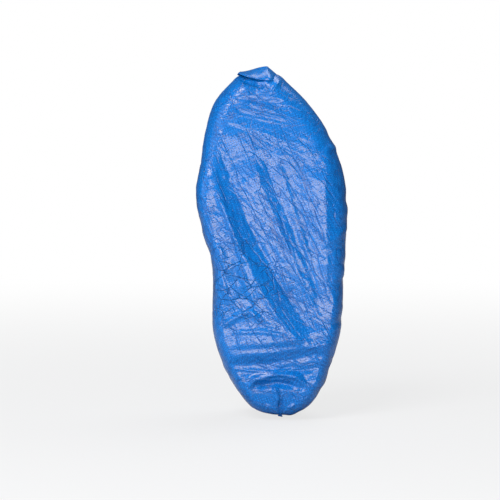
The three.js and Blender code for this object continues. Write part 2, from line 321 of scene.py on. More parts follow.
SLOPING_BANDS = [  # route of (x, z), half width, drop across it, how far it takes to even out
    (((-54, 92), (-47, 60), (-34, 30), (-14, -14), (8, -52), (36, -94)), 8.5, 6.4, 60),
    (((-14, 82), (-3, 50), (11, 17), (26, -16), (44, -64)), 5.0, 3.6, 40),
    (((8, 74), (17, 44), (28, 10), (38, -22)), 2.2, 1.2, 20),
    (((51, 72), (53, 20), (53, -54)), 5.0, 3.8, 30),
    (((-60, 60), (-52, 24), (-50, -6)), 4.0, 1.6, 14),
    (((-43, 2), (-37, -20), (-41, -46)), 3.0, 1.3, 16),
    (((-22, 4), (-14, -18), (-2, -34)), 2.6, 1.1, 16),
    (((-43, 131), (-12, 132), (17, 128)), 2.8, -1.4, 8),
    (((-37, 125), (-16, 119.5), (8, 112)), 2.0, -1.05, 8),
    (((-31, 117), (-12, 113), (14, 107)), 1.7, -0.85, 9),
    (((-40, 106), (-14, 98), (16, 86)), 1.6, -0.6, 12),
    (((-20, 98), (12, 84), (36, 70)), 1.6, -0.6, 12),
    (((-46, -102), (0, -99), (30, -94), (58, -92)), 4.2, -4.4, 30),
    (((0, -110), (28, -106), (52, -104)), 2.4, -1.5, 10),
    (((-38, -90), (0, -88), (34, -84)), 2.0, -1.0, 12),
]


def route_frame(x, z, route, steps=24):
    """How far along a route (0 to 1), and how far to its left, each point lies."""
    corners = np.array(route, float) * MM
    t = np.linspace(0, len(corners) - 1, steps)
    line = np.stack([np.interp(t, np.arange(len(corners)), corners[:, k]) for k in (0, 1)], -1)
    for _ in range(4):
        line[1:-1] = (line[:-2] + 2 * line[1:-1] + line[2:]) / 4
    nearest = np.full(x.shape, np.inf)
    along, aside = np.zeros(x.shape), np.zeros(x.shape)
    for k in range(steps - 1):
        (ax, az), (bx, bz) = line[k], line[k + 1]
        dx, dz = bx - ax, bz - az
        length = math.hypot(dx, dz)
        u = np.clip(((x - ax) * dx + (z - az) * dz) / length**2, 0, 1)
        distance = np.hypot(x - ax - u * dx, z - az - u * dz)
        left = ((x - ax) * dz - (z - az) * dx) / length
        closer = distance < nearest
        nearest = np.where(closer, distance, nearest)
        along = np.where(closer, (k + u) / (steps - 1), along)
        aside = np.where(closer, np.sign(left) * distance, aside)
    return along, aside


def fold_profile(aside, half_width, lean):
    """1 on the fold's line, falling to 0 at its half width, faster on the side it leans to."""
    width = half_width * np.where(aside > 0, 1 - lean, 1 + lean)
    return smooth(1 - np.abs(aside) / width) ** 0.8


def band_profile(aside, half_width, relax):
    """A straight slope across the band, which evens out slowly on both sides of it."""
    beyond = np.maximum(np.abs(aside) - half_width, 0)
    return np.clip(aside / half_width, -1, 1) * (1 - smooth(beyond / relax))


def folds_along(x, z, folds):
    lift = np.zeros(x.shape)
    for route, half_width, height, lean in folds:
        along, aside = route_frame(x, z, route)
        taper = smooth(along, 0, 0.25) * smooth(1 - along, 0, 0.25)
        narrowed = half_width * MM * mix(0.6, 1.0, taper)
        lift += height * MM * mix(0.35, 1.0, taper) * fold_profile(aside, narrowed, lean)
    return lift


def sole_folds(x, z):
    lift = folds_along(x, z, SOLE_FOLDS)
    for route, half_width, drop, relax in SLOPING_BANDS:
        along, aside = route_frame(x, z, route)
        taper = smooth(along, 0, 0.18) * smooth(1 - along, 0, 0.18)
        narrowed = half_width * MM * mix(0.5, 1.0, taper)
        lift += drop / 2 * MM * mix(0.1, 1.0, taper) * band_profile(aside, narrowed, relax * MM)
    return lift


# %% [markdown]
# ## Creases in zones
# Between the folds the film is crazed with short sharp creases. Drawing hundreds by hand
# would be tiresome, so a table says where they lie, which way they run and how many there
# are, and a seeded random draw places them. The same seed gives the same film each time.

# %% Short creases
CREASE_ZONES = [  # middle (x, z), half size, direction in degrees, spread, count, length, lift
    ((-12, 140), (22, 7), -6, 20, 14, 16, 0.60),
    ((-12, 127), (28, 9), -6, 12, 20, 24, 0.32),
    ((-8, 106), (42, 14), -24, 14, 34, 20, 0.32),
    ((-4, 84), (50, 16), -44, 20, 50, 14, 0.34),
    ((0, 60), (54, 14), -62, 26, 50, 12, 0.42),
    ((-2, 22), (52, 36), -66, 14, 70, 26, 0.32),
    ((26, -30), (28, 50), -62, 16, 60, 26, 0.36),
    ((-34, 20), (18, 30), -60, 40, 30, 16, 0.40),
    ((-32, -24), (20, 34), -20, 90, 44, 16, 0.40),
    ((-12, -62), (34, 24), -20, 90, 44, 18, 0.36),
    ((26, -74), (26, 20), 30, 34, 28, 20, 0.32),
    ((4, -90), (46, 10), 6, 20, 20, 24, 0.30),
    ((8, -106), (42, 8), 2, 12, 18, 30, 0.34),
    ((6, -126), (30, 10), 0, 50, 14, 14, 0.35),
    ((6, -140), (18, 8), 90, 50, 16, 10, 0.50),
]


def creases(x, z, zones, rng):
    """The height of many short creases, each sharp on one flank and soft on the other."""
    lift = np.zeros(x.shape)
    for middle, half_size, angle, spread, count, length, height in zones:
        for _ in range(count):
            cx = (middle[0] + half_size[0] * rng.uniform(-1, 1)) * MM
            cz = (middle[1] + half_size[1] * rng.uniform(-1, 1)) * MM
            turn = math.radians(angle + spread * rng.uniform(-1, 1))
            half = length * MM * rng.uniform(0.25, 0.65)
            tall = height * MM * rng.uniform(0.3, 1.0) * rng.choice([1, 1, -1])
            bow = half * rng.uniform(-0.25, 0.25)
            sharp, soft = 0.7 * MM, rng.uniform(1.2, 2.6) * MM
            near = (np.abs(x - cx) < half + soft * 3) & (np.abs(z - cz) < half + soft * 3)
            px, pz = x[near] - cx, z[near] - cz
            along = (px * math.cos(turn) + pz * math.sin(turn)) / half
            aside = pz * math.cos(turn) - px * math.sin(turn) - bow * (1 - along**2)
            flank = np.where(aside > 0, sharp, soft)
            taper = smooth(1 - np.abs(along))
            lift[near] += tall * taper * np.exp(-np.abs(aside) / flank)
    return lift


# %% [markdown]
# ## Pleats of the upper
# The elastic gathers a long edge into a short one. At the hem this makes many fine ruffles,
# and they run together into a few deep pleats that fan out over the instep and the sides.
# Both follow the same address round the cover, so they meet the hem where they should.

# %% Gathers and pleats
GATHERS = 58
GATHER_DEPTH = 1.5 * MM
pleat_rng = np.random.default_rng(11)


def gather_wave(share):
    """An uneven ruffle round the opening, from -1 to 1."""
    phase = 2 * np.pi * share
    drift = 0.9 * np.sin(3 * phase + 0.7) + 0.7 * np.sin(7 * phase + 2.1)
    size = 0.72 + 0.28 * np.sin(5 * phase + 1.3) * np.sin(11 * phase)
    wave = np.sin(GATHERS * phase + drift)
    return size * np.sign(wave) * np.abs(wave) ** 0.8


def make_pleats(rng):
    """Rows of share, half width as a share, lift, reach down the upper, slant and lean."""
    pleats = []
    count = 34
    for k in range(count):
        at = (k + 0.5 + rng.uniform(-0.3, 0.3)) / count
        frontness = 0.5 - 0.5 * math.cos(2 * math.pi * at)
        half_width = rng.uniform(0.009, 0.015)
        lift = mix(1.0, 3.6, frontness) * rng.uniform(0.6, 1.1) * MM
        reach = mix(0.35, 0.95, frontness) * rng.uniform(0.6, 1.0)
        slant = rng.uniform(-0.012, 0.012) + 0.02 * math.sin(2 * math.pi * at)
        pleats.append((at, half_width, lift, reach, slant, rng.uniform(-0.6, 0.6)))
    return pleats


def upper_pleats(share, up, pleats):
    """The height of the pleats. up is 0 on the widest line and 1 at the rim."""
    lift = np.zeros(share.shape)
    for at, half_width, height, reach, slant, lean in pleats:
        down = 1 - up
        aside = (share - at - slant * down + 0.5) % 1 - 0.5
        width = half_width * mix(0.7, 1.7, down)
        fade = smooth(1 - down / reach) * smooth(down, 0.0, 0.14)
        lift += height * fade * (2 * fold_profile(aside, width, lean) - 0.6 * fold_profile(aside, 2 * width, 0))
    return lift


def edge_folds(share, row, rng):
    """Short folds that cross the widest line, where the film turns up round the sole."""
    lift = np.zeros(share.shape)
    for _ in range(34):
        middle_row = SIDE_ROW + rng.uniform(-7, 3)
        reach = rng.uniform(4, 10)
        off = (row - middle_row) / reach
        aside = (share - rng.uniform() - rng.uniform(-0.02, 0.02) * off + 0.5) % 1 - 0.5
        height = rng.uniform(0.3, 1.1) * rng.choice([1, -1]) * MM
        lift += height * smooth(1 - np.abs(off)) * fold_profile(aside, rng.uniform(0.006, 0.014), rng.uniform(-0.6, 0.6))
    return lift


def folded_film():
    """The film with its long folds, pleats and gathers, before it settles."""
    row = np.arange(ROWS + 1)[:, None] * np.ones(AROUND + 1)
    rounds = share[None, :] * np.ones((ROWS + 1, 1))
    on_sole = 1 - smooth(row, SOLE_ROWS, SIDE_ROW)
    up = np.clip((row - SIDE_ROW) / UPPER_ROWS, 0, 1)
    lift = on_sole * sole_folds(film[..., 0], film[..., 2])
    lift += upper_pleats(rounds, up, make_pleats(pleat_rng)) * smooth(up, 0, 0.1)
    lift += edge_folds(rounds, row, np.random.default_rng(4))
    lift += GATHER_DEPTH * gather_wave(rounds) * smooth(up, 0.72, 1.0)
    folded = film + film_normals * lift[..., None]
    folded[0] = (folded[0] + folded[0][::-1]) / 2
    folded[:, -1] = folded[:, 0]
    return folded


folded = folded_film()
print("area with its folds in m2:", round(grid_area(folded), 4))


# %% [markdown]
# ## From grid to film
# Blender's own grid primitive already has rows and columns, so its points only need to be
# moved to their addresses. Its first and last columns meet at the heel, and its first row
# closes on itself along the middle of the sole, so merging doubles turns the flat grid into
# one open pouch. Its UV map still holds each point's address, through every later step.

# %% Helpers for making a piece
def start_fresh():
    """Nothing selected, nothing in edit mode."""
    if bpy.context.object and bpy.context.object.mode != "OBJECT":
        bpy.ops.object.mode_set(mode="OBJECT")
    bpy.ops.object.select_all(action="DESELECT")


def grid_piece(name, grid):
    """A piece whose points are a grid's, with coinciding points merged and faces outwards."""
    start_fresh()
    rows, columns = grid.shape[0], grid.shape[1]
    bpy.ops.mesh.primitive_grid_add(x_subdivisions=columns - 1, y_subdivisions=rows - 1, size=1)
    piece = bpy.context.object
    piece.name = piece.data.name = name
    piece.data.vertices.foreach_set("co", grid.astype(np.float32).ravel())
    bpy.ops.object.mode_set(mode="EDIT")
    bpy.ops.mesh.select_all(action="SELECT")
    bpy.ops.mesh.remove_doubles(threshold=0.01 * MM)
    bpy.ops.mesh.normals_make_consistent(inside=False)
    bpy.ops.object.mode_set(mode="OBJECT")
    bpy.ops.object.shade_smooth()
    return piece


def apply_modifiers(piece):
    start_fresh()
    piece.select_set(True)
    bpy.context.view_layer.objects.active = piece
    for modifier in list(piece.modifiers):
        bpy.ops.object.modifier_apply(modifier=modifier.name)


def subdivide(piece):
    finer = piece.modifiers.new("finer", "SUBSURF")
    finer.levels = finer.render_levels = 1
    finer.uv_smooth = "NONE"
    apply_modifiers(piece)


def thicken(piece, thickness, offset=-1):
    solidify = piece.modifiers.new("film thickness", "SOLIDIFY")
    solidify.thickness = thickness
    solidify.offset = offset
    solidify.use_even_offset = False
    apply_modifiers(piece)


def points_of(piece, what="co"):
    found = np.empty(len(piece.data.vertices) * 3, np.float32)
    piece.data.vertices.foreach_get(what, found)
    return found.reshape(-1, 3).astype(float)


def address_of(piece):
    """How far round and how far out, in rows, each point of a piece lies."""
    mesh = piece.data
    uv = np.empty(len(mesh.loops) * 2, np.float32)
    mesh.uv_layers[0].data.foreach_get("uv", uv)
    corner = np.empty(len(mesh.loops), np.int32)
    mesh.loops.foreach_get("vertex_index", corner)
    found = np.zeros((len(mesh.vertices), 2))
    found[corner] = uv.reshape(-1, 2)
    return found[:, 0], found[:, 1] * ROWS


FILM_THICKNESS = 0.2 * MM

# %% [markdown]
# ## Let the film settle
# The folds so far are tidy and rounded, which film never is. Cloth simulation fixes that: the
# film is told that it is a few percent larger than it is, with no gravity, and while it is
# held softly to its place it has to buckle. The long folds break up into facets with sharp
# ridges between them. It settles twice: coarsely for the long folds, then finely.

# %% The slack in the film
SLACK = [  # height along the cover, slack across the folds, which way the folds run in degrees
    (155, 0.016, 0),
    (125, 0.010, -8),
    (100, 0.005, -30),
    (70, 0.006, -52),
    (30, 0.011, -64),
    (-55, 0.012, -62),
    (-85, 0.010, -30),
    (-102, 0.009, 0),
    (-155, 0.010, 0),
]
SLACK_EVERYWHERE = 0.003


def cut_shape(place):
    """Where the points would lie with the slack pulled out of the film."""
    z = np.linspace(-HALF_LENGTH, HALF_LENGTH, 400)
    heights, amounts, turns = np.array(SLACK[::-1], float).T
    slack = np.interp(z, heights * MM, amounts)
    turn = np.radians(np.interp(z, heights * MM, turns))
    across, along = -np.sin(turn), np.cos(turn)
    step = z[1] - z[0]
    lengthen = np.cumsum(slack * along**2) * step
    lean = np.cumsum(2 * slack * across * along) * step
    x, at = place[:, 0], place[:, 2]
    cut = place * (1 + SLACK_EVERYWHERE)
    cut[:, 0] += np.interp(at, z, slack * across**2) * x + np.interp(at, z, lean)
    cut[:, 2] += np.interp(at, z, lengthen)
    return cut


# %% Cloth passes
DRAWN_IN_BY = 6  # the frame by which the film has been drawn in to its place


def settle(piece, hold, cut, frames, stiffness):
    """Buckles a piece. hold gives how firmly each point keeps its place, from 0 to 1."""
    worn = points_of(piece)
    group = piece.vertex_groups.new(name="hold")
    for index, weight in enumerate(hold):
        group.add([index], float(weight), "REPLACE")
    piece.data.vertices.foreach_set("co", cut.astype(np.float32).ravel())
    piece.shape_key_add(name="Basis")
    place = piece.shape_key_add(name="worn")
    place.data.foreach_set("co", worn.astype(np.float32).ravel())
    for frame, value in ((1, 0), (DRAWN_IN_BY, 1)):
        place.value = value
        place.keyframe_insert("value", frame=frame)
    cloth = piece.modifiers.new("settling", "CLOTH")
    settings = cloth.settings
    settings.quality = 5
    settings.mass = 0.05
    settings.tension_stiffness = settings.compression_stiffness = 20
    settings.shear_stiffness = 10
    settings.bending_stiffness = 0.02
    settings.effector_weights.gravity = 0
    settings.vertex_group_mass = group.name
    settings.pin_stiffness = stiffness
    cloth.collision_settings.use_collision = False
    cloth.collision_settings.use_self_collision = False
    for frame in range(1, frames + 1):
        bpy.context.scene.frame_set(frame)
    settled = piece.evaluated_get(bpy.context.evaluated_depsgraph_get())
    after = np.empty(worn.size, np.float32)
    settled.data.vertices.foreach_get("co", after)
    piece.modifiers.remove(cloth)
    piece.shape_key_clear()
    piece.data.vertices.foreach_set("co", after)
    piece.data.update()
    piece.vertex_groups.remove(group)
    bpy.context.scene.frame_set(1)
    moved = np.linalg.norm(after.reshape(-1, 3) - worn, axis=1) / MM
    print("settled: moved", round(moved.mean(), 2), "mm on average, at most", round(moved.max(), 2))


def hold_for(piece, sole, edge, upper):
    """Weights for the sole, its edge and the upper. The rim is held fast."""
    _, row = address_of(piece)
    at_edge = np.exp(-(((row - SIDE_ROW + 3) / 5) ** 2))
    hold = mix(np.where(row < SIDE_ROW - 3, sole, upper), edge, at_edge)
    return np.where(row > ROWS - 0.6, 1, hold)


film_piece = grid_piece("embossed_film", folded)
settle(film_piece, hold_for(film_piece, 0.20, 0.6, 0.06), cut_shape(points_of(film_piece)), 16, 0.3)
subdivide(film_piece)
settle(film_piece, hold_for(film_piece, 0.4, 0.6, 0.15), points_of(film_piece) * 1.003, 8, 1.0)
print("film:", len(film_piece.data.polygons), "faces before it gets its thickness")

# %% [markdown]
# ## The finest creases
# The last and smallest creases are laid over the settled film, along its own surface normal.

# %% Creases on the settled film
UPPER_CREASES = [  # middle (round, up) in mm, half size, direction, spread, count, length, lift
    ((195, 40), (190, 34), 62, 34, 150, 20, 0.40),
    ((585, 40), (190, 34), 118, 34, 150, 20, 0.40),
    ((390, 55), (60, 34), 80, 60, 40, 18, 0.30),
]
CRISP_FOLDS = [  # route of (x, z), half width, lift, lean, in mm, as for the long folds
    (((-33, 145), (-21, 138), (-9, 134.5), (0, 133)), 2.0, 1.1, -0.5),
    (((-7, 141), (-2, 134), (0, 132.5)), 2.0, -1.3, 0.4),
    (((0, 132.5), (4, 137), (7, 142)), 1.8, 1.1, 0.4),
    (((-44, 129), (-22, 130), (0, 129), (20, 125)), 2.4, 1.0, -0.5),
    (((-38, 122), (-16, 117), (10, 110)), 1.8, 0.7, -0.5),
    (((-32, 114), (-12, 110), (16, 104)), 1.6, 0.6, -0.5),
    (((-36, -109), (0, -112), (36, -107)), 2.0, 0.8, 0.4),
    (((-30, -116), (4, -119), (36, -113)), 1.8, 0.7, 0.4),
    (((8, -131), (7, -140), (8, -150)), 1.6, -1.3, 0.3),
    (((-6, -140), (2, -145), (8, -150)), 1.8, 0.9, 0.4),
    (((21, -140), (14, -145), (9, -150)), 1.8, 0.9, -0.4),
]
ROUND_LENGTH = 780 * MM
CLIMB_LENGTH = 90 * MM


def crease_film(piece):
    place, normal = points_of(piece), points_of(piece, "normal")
    rounds, row = address_of(piece)
    on_sole = 1 - smooth(row, SOLE_ROWS, SIDE_ROW)
    lift = on_sole * creases(place[:, 0], place[:, 2], CREASE_ZONES, np.random.default_rng(5))
    lift += on_sole * folds_along(place[:, 0], place[:, 2], CRISP_FOLDS)
    climb = (row - SOLE_ROWS) / (ROWS - SOLE_ROWS) * CLIMB_LENGTH
    fine = creases(rounds * ROUND_LENGTH, climb, UPPER_CREASES, np.random.default_rng(8))
    lift += smooth(row, SOLE_ROWS + 2, SIDE_ROW + 2) * (1 - smooth(row, ROWS - 4, ROWS)) * fine
    place += normal * lift[:, None]
    piece.data.vertices.foreach_set("co", place.astype(np.float32).ravel())
    piece.data.update()


def ease_edge(piece, passes):
    """Smooths the film where it turns up round the sole, as if drawn tight over an edge."""
    _, row = address_of(piece)
    group = piece.vertex_groups.new(name="edge")
    for index, weight in enumerate(np.exp(-(((row - SIDE_ROW + 5) / 6) ** 2))):
        group.add([index], float(weight), "REPLACE")
    eased = piece.modifiers.new("drawn tight", "SMOOTH")
    eased.factor, eased.iterations = 0.5, passes
    eased.vertex_group = group.name
    apply_modifiers(piece)
    piece.vertex_groups.remove(piece.vertex_groups["edge"])


ease_edge(film_piece, passes=10)
crease_film(film_piece)
print("film:", len(film_piece.data.polygons), "faces")

# %% [markdown]
# ## The ruffled hem
# At the opening the film is turned in over the elastic. The hem is a narrow strip that goes
# up from the edge of the film, over the elastic and down inside, all the way round the rim.
# Its ruffles are the gathers of the film, deeper at the top where the strip is free.

# %% Hem
HEM_HEIGHT = 9 * MM
HEM_CHANNEL = 2.8 * MM
HEM_ROUND = 720


def hem_section():
    """Points (out, on) of the strip: out from the film, and on past its edge."""
    radius = HEM_CHANNEL / 2 + WALL
    middle = -WALL - HEM_CHANNEL / 2
    top = HEM_HEIGHT - radius
    points = [(0.15 * MM, -1.2 * MM)]
    points += [(0.15 * MM, on) for on in np.linspace(0, top, 8, endpoint=False)]
    turn = np.linspace(0, math.pi, 10)
    points += [(middle + radius * math.cos(a), top + radius * math.sin(a)) for a in turn]
    points += [(middle - radius, on) for on in np.linspace(top, 1.5 * MM, 6)[1:]]
    return np.array(points)


def rim_frame(share):
    """The rim, the direction out of the film and the direction on past its edge."""
    step = 0.002
    rim = rim_at(share)
    along = rim_at(share + step) - rim_at(share - step)
    onward = rim - bend_at(share % 1)
    along /= np.linalg.norm(along, axis=-1, keepdims=True)
    onward /= np.linalg.norm(onward, axis=-1, keepdims=True)
    out = np.cross(along, onward)
    return rim, out / np.linalg.norm(out, axis=-1, keepdims=True), onward


def fine_ruffle(share):
    return 0.35 * np.sin(2 * np.pi * share * 131 + 2 * np.sin(2 * np.pi * share * 9))


def hem_grid():
    at = np.arange(HEM_ROUND + 1) / HEM_ROUND
    rim, out, onward = rim_frame(at)
    wave, fine = gather_wave(at), fine_ruffle(at)
    rows = []
    for o, on in hem_section():
        height = np.clip(on / HEM_HEIGHT, 0, 1)
        sway = GATHER_DEPTH * wave * (1 + 0.2 * height) + 0.5 * MM * fine * height
        rise = on + height * (0.8 * MM * np.roll(wave, 3) + 0.6 * MM * fine)
        rows.append(rim + out * (o + sway)[:, None] + onward * rise[:, None])
    return np.array(rows)


hem_piece = grid_piece("ruffled_hem", hem_grid())
thicken(hem_piece, FILM_THICKNESS)
print("hem:", len(hem_piece.data.polygons), "faces")

# %% [markdown]
# ## The elastic thread
# The elastic runs inside the hem and follows every ruffle. It is a cord of rubber wound with
# yarn, so its section is swept round the rim with a fine twist on it.

# %% Elastic
def thread_grid():
    at = np.arange(HEM_ROUND + 1) / HEM_ROUND
    rim, out, onward = rim_frame(at)
    wave = gather_wave(at)
    middle_on = HEM_HEIGHT - HEM_CHANNEL / 2 - WALL
    height = middle_on / HEM_HEIGHT
    centre = rim + out * (GATHER_DEPTH * wave * (1 + 0.2 * height) - WALL - HEM_CHANNEL / 2)[:, None]
    centre += onward * (middle_on + height * 0.8 * MM * np.roll(wave, 3))[:, None]
    rows = []
    for angle in np.linspace(0, 2 * math.pi, 13):
        radius = 0.9 * MM * (1 + 0.06 * np.cos(3 * (angle + 2 * np.pi * at * 60)))
        turn = out * math.cos(angle) + onward * math.sin(angle)
        rows.append(centre + turn * radius[:, None])
    return np.array(rows)


thread_piece = grid_piece("elastic_thread", thread_grid())
print("elastic:", len(thread_piece.data.polygons), "faces")

# %% [markdown]
# ## The spare corner at the toe
# The cover is cut square, and the shoe's toe is round, so a corner of film is left over past
# the toe. It is pressed flat into an ear, with a lip that curls forward over the toe and
# leaves a small dark pocket under it.

# %% Toe ear
EAR_MIDDLE, EAR_HALF_WIDTH = -9.5 * MM, 19.5 * MM
EAR_PEAK = 0.34  # where across it the ear is tallest and its lip lowest


def ear_grid(columns=96, rows=34):
    across = np.linspace(-1, 1, columns + 1)
    off_peak = np.where(across < EAR_PEAK, (EAR_PEAK - across) / (1 + EAR_PEAK), (across - EAR_PEAK) / (1 - EAR_PEAK))
    spare = smooth(across, EAR_PEAK, 1)  # the ear runs out into the film on this side
    lip = (141.5 + 6.8 * off_peak**1.6 - 8 * spare) * MM
    top = (155 - np.where(across < EAR_PEAK, 4.8 * smooth(off_peak), 10 * off_peak)) * MM
    closing = (1 - np.abs(across) ** 5) ** 0.5
    section = [  # share of the way from lip to top, distance towards the back, half width
        (0.16, 15.5, 0.97),
        (0.02, 11.2, 1.0),
        (0.10, 9.6, 1.02),
        (0.35, 12.0, 1.0),
        (0.72, 20.0, 0.95),
        (0.96, 28.0, 0.92),
        (1.0, 29.6, 0.91),
        (0.97, 31.0, 0.92),
        (0.60, 34.0, 0.97),
        (0.0, 37.0, 1.02),
        (-0.5, 38.0, 1.05),
    ]
    t = np.linspace(0, len(section) - 1, rows + 1)
    shape = np.array([np.interp(t, np.arange(len(section)), [s[k] for s in section]) for k in range(3)]).T
    for _ in range(3):
        shape[1:-1] = (shape[:-2] + 2 * shape[1:-1] + shape[2:]) / 4
    grid = []
    for up, back, width in shape:
        pleat = 0.5 * np.sin(across * 5 + 4 * up) + 0.25 * np.sin(across * 13 - 5 * up)
        x = EAR_MIDDLE + across * EAR_HALF_WIDTH * width
        sunk = 7 * spare * (1 - smooth(up, 0.2, 0.9))
        y = (29.5 + (back - 29.5) * closing + 0.8 * pleat * closing + sunk) * MM
        z = mix(lip, top, up)
        grid.append(np.stack([x, y, z], -1))
    return np.array(grid)


ear_piece = grid_piece("folded_toe_ear", ear_grid())
thicken(ear_piece, FILM_THICKNESS)
print("ear:", len(ear_piece.data.polygons), "faces")

# %% [markdown]
# ## The welded seams
# A heated bar pinches the two layers of film together at the heel and at the toe. The weld is
# a narrow ribbed fin on the middle line, with a slightly wavy free edge.

# %% Seams
def settled_line(share, first_row, last_row):
    """Points and outward normals of the settled film along one column, from row to row."""
    rounds, row = address_of(film_piece)
    off = np.abs((rounds - share + 0.5) % 1 - 0.5)
    chosen = np.flatnonzero((off < 0.2 / AROUND) & (row >= first_row) & (row <= last_row))
    chosen = chosen[np.argsort(row[chosen])]
    return points_of(film_piece)[chosen], points_of(film_piece, "normal")[chosen]


def fin_grid(share, first_row, last_row, height, steps=150):
    point, normal = settled_line(share, first_row, last_row)
    for _ in range(6):
        point[1:-1] = (point[:-2] + 2 * point[1:-1] + point[2:]) / 4
        normal[1:-1] = (normal[:-2] + 2 * normal[1:-1] + normal[2:]) / 4
    length = np.append(0, np.cumsum(np.linalg.norm(np.diff(point, axis=0), axis=1)))
    at = np.linspace(0, length[-1], steps + 1)
    point = np.array([np.interp(at, length, point[:, k]) for k in range(3)]).T
    normal = np.array([np.interp(at, length, normal[:, k]) for k in range(3)]).T
    normal /= np.linalg.norm(normal, axis=1, keepdims=True)
    end = np.minimum(at, at[-1] - at)
    taper = smooth(end, 0, 5 * MM)
    rows = []
    for up in np.linspace(0, 1, 9):
        ripple = 1.8 * MM * up * np.sin(at / MM * 0.42 + 0.5) + 0.2 * MM * up * np.sin(at / MM * 2.3)
        rib = 0.10 * MM * np.sin(np.arange(steps + 1) * math.pi / 2)
        rise = (-1.0 * MM + (height + 1.0 * MM) * up) * mix(0.5, 1, taper)
        row = point + normal * rise[:, None]
        row[:, 0] += ripple + rib
        rows.append(row)
    return np.array(rows)


heel_fin = grid_piece("heel_weld", fin_grid(0.0, SOLE_ROWS + 1, ROWS - 0.5, 1.7 * MM))
thicken(heel_fin, 0.7 * MM, offset=0)
toe_fin = grid_piece("toe_weld", fin_grid(0.5, SIDE_ROW + 1.5, ROWS - 0.5, 2.3 * MM))
thicken(toe_fin, 0.7 * MM, offset=0)

# %% [markdown]
# ## Materials by expression
# Node graphs are easier to read as sums. A small class wraps a socket so that + - * and ** add
# the Math nodes, and one function adds any other node by its type, settings and inputs.

# %% Shader helper
class Value:
    def __init__(self, socket):
        self.socket = socket
        self.tree = socket.id_data

    def _math(self, operation, a, b=None):
        values = {0: a} if b is None else {0: a, 1: b}
        return node(self.tree, "ShaderNodeMath", {"operation": operation}, values)[0]

    def __add__(self, other):
        return self._math("ADD", self, other)

    __radd__ = __add__

    def __sub__(self, other):
        return self._math("SUBTRACT", self, other)

    def __rsub__(self, other):
        return self._math("SUBTRACT", other, self)

    def __mul__(self, other):
        return self._math("MULTIPLY", self, other)

    __rmul__ = __mul__

    def __pow__(self, other):
        return self._math("POWER", self, other)

    def within(self, low, high):
        """0 at low, 1 at high, smooth in between."""
        settings = {"interpolation_type": "SMOOTHSTEP", "clamp": True}
        return node(self.tree, "ShaderNodeMapRange", settings, {0: self, 1: low, 2: high, 3: 0.0, 4: 1.0})[0]


def node(tree, kind, settings=None, values=None):
    """Adds a node. Settings come first, then numbers, colours or links for its sockets."""
    made = tree.nodes.new(kind)
    for name, setting in (settings or {}).items():
        setattr(made, name, setting)
    for key, value in (values or {}).items():
        socket = made.inputs[key]
        if isinstance(value, Value):
            tree.links.new(value.socket, socket)
        else:
            socket.default_value = value
    return [Value(socket) for socket in made.outputs]


def new_material(name):
    material = bpy.data.materials.new(name)
    material.use_nodes = True
    tree = material.node_tree
    return material, tree, tree.nodes["Principled BSDF"]


def feed(tree, shader, **links):
    for name, value in links.items():
        tree.links.new(value.socket, shader.inputs[name.replace("_", " ")])


def noise(tree, where, scale, detail=2.0, roughness=0.5, distortion=0.0):
    values = {"Vector": where, "Scale": scale, "Detail": detail, "Roughness": roughness, "Distortion": distortion}
    return node(tree, "ShaderNodeTexNoise", None, values)[0]


def cells(tree, where, scale, feature="F1", out=0):
    return node(tree, "ShaderNodeTexVoronoi", {"feature": feature}, {"Vector": where, "Scale": scale})[out]


# %% [markdown]
# ## Embossed polyethylene film
# The film is a saturated blue, glossy but not mirror-like. Rollers press a fine grain into it,
# so highlights break up into a silky sheen. Handling leaves a web of hairline creases, finer
# than the modelled ones, and patches that are a little rougher or paler than others. The
# hairline creases are also painted a darker blue in the colour, as painted shade.

# %% Film material
def facets(tree, where, scale):
    """Flat facets with straight edges, each tilted its own way, as a height in mm."""
    cell = node(tree, "ShaderNodeTexVoronoi", None, {"Vector": where, "Scale": scale})
    tilt = node(tree, "ShaderNodeVectorMath", {"operation": "SUBTRACT"}, {0: cell[1], 1: (0.5, 0.5, 0.5)})[0]
    offset = node(tree, "ShaderNodeVectorMath", {"operation": "SUBTRACT"}, {0: where, 1: cell[2]})[0]
    return node(tree, "ShaderNodeVectorMath", {"operation": "DOT_PRODUCT"}, {0: tilt, 1: offset})[1] * (1 / MM)


def facet_edges(tree, where, scale, width):
    """1 on the straight edges between the same facets, 0 inside them."""
    return 1 - cells(tree, where, scale, feature="DISTANCE_TO_EDGE").within(0.0, width)


def ridge_lines(tree, where, scale, width):
    """Thin ridges along the level lines of a noise, from 0 to 1 on the line."""
    level = noise(tree, where, scale, detail=1.5)
    away = node(tree, "ShaderNodeMath", {"operation": "ABSOLUTE"}, {0: level - 0.5})[0]
    return 1 - away.within(0.0, width)


def slanted(tree, where, degrees, stretch):
    """Coordinates turned about the depth of the cover, and drawn out along the turned axis."""
    turned = {0: where, "Axis": (0, 1, 0), "Angle": math.radians(degrees)}
    turned = node(tree, "ShaderNodeVectorRotate", None, turned)[0]
    return node(tree, "ShaderNodeVectorMath", {"operation": "MULTIPLY"}, {0: turned, 1: (stretch, 1, 1)})[0]


def noise_vector(tree, where, scale):
    return node(tree, "ShaderNodeTexNoise", None, {"Vector": where, "Scale": scale, "Detail": 2.0})[1]


def emboss(tree, where, pitch):
    """A lattice of small dots, from 0 to 1."""
    x, y, z = (Value(v.socket) for v in node(tree, "ShaderNodeSeparateXYZ", None, {0: where}))
    turn = 2 * math.pi / pitch
    waves = [node(tree, "ShaderNodeMath", {"operation": "SINE"}, {0: axis * turn})[0] for axis in (x + z * 0.35, y, z - x * 0.35)]
    return (waves[0] * waves[2] + waves[0] * waves[1] + waves[1] * waves[2]) * 0.33 + 0.5


CRUSHED_PLACE = (-0.027, 0.0, -0.034)  # where the film is crushed most, by the waist


